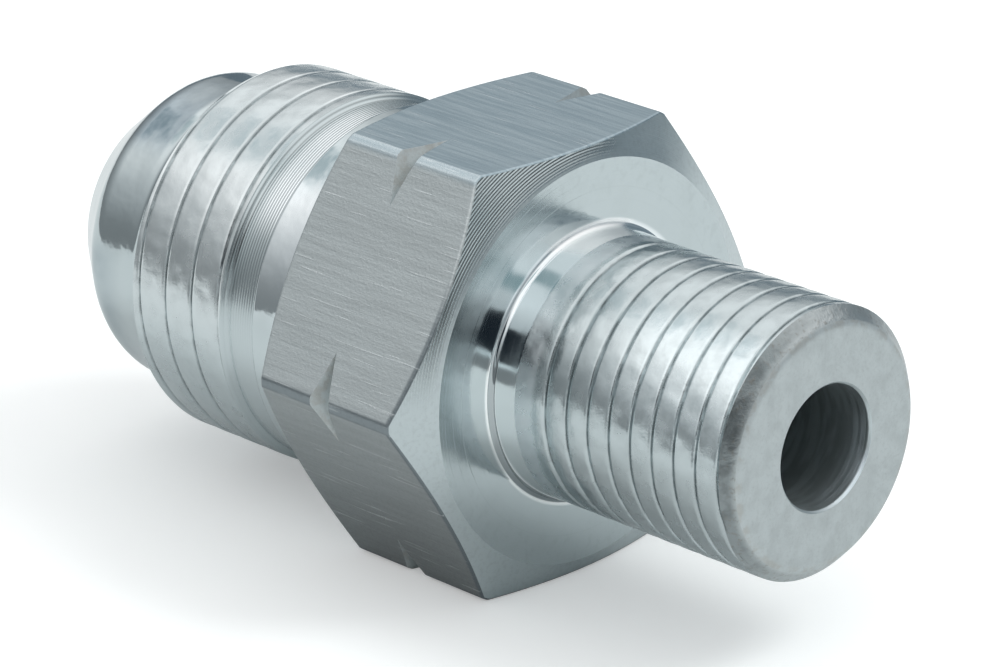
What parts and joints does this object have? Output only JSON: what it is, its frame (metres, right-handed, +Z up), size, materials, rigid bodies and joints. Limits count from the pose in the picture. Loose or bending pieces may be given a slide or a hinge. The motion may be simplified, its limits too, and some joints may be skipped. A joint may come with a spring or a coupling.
{
  "type": "straight adapter fitting",
  "caption": "Straight adapter fitting: a notched hexagon between a small parallel thread and a larger thread with a 37 degree flare seat, with a stepped bore through it.",
  "frame": {"origin": "on the axis of the bore, in the plane of the turned front face of the hexagon, where the small end begins", "axes": "+X along the axis towards the end face of the small threaded end, +Z up and square to a flat of the hexagon, so that the fitting rests on the opposite flat"},
  "size_m": [0.0333, 0.0184, 0.016],
  "materials": {
    "zinc_steel": "bright zinc plate, satin on the flats and the end face, glossy where it is turned"
  },
  "bodies": {
    "root": {"adapter_body": "zinc_steel"}
  },
  "joints": []
}
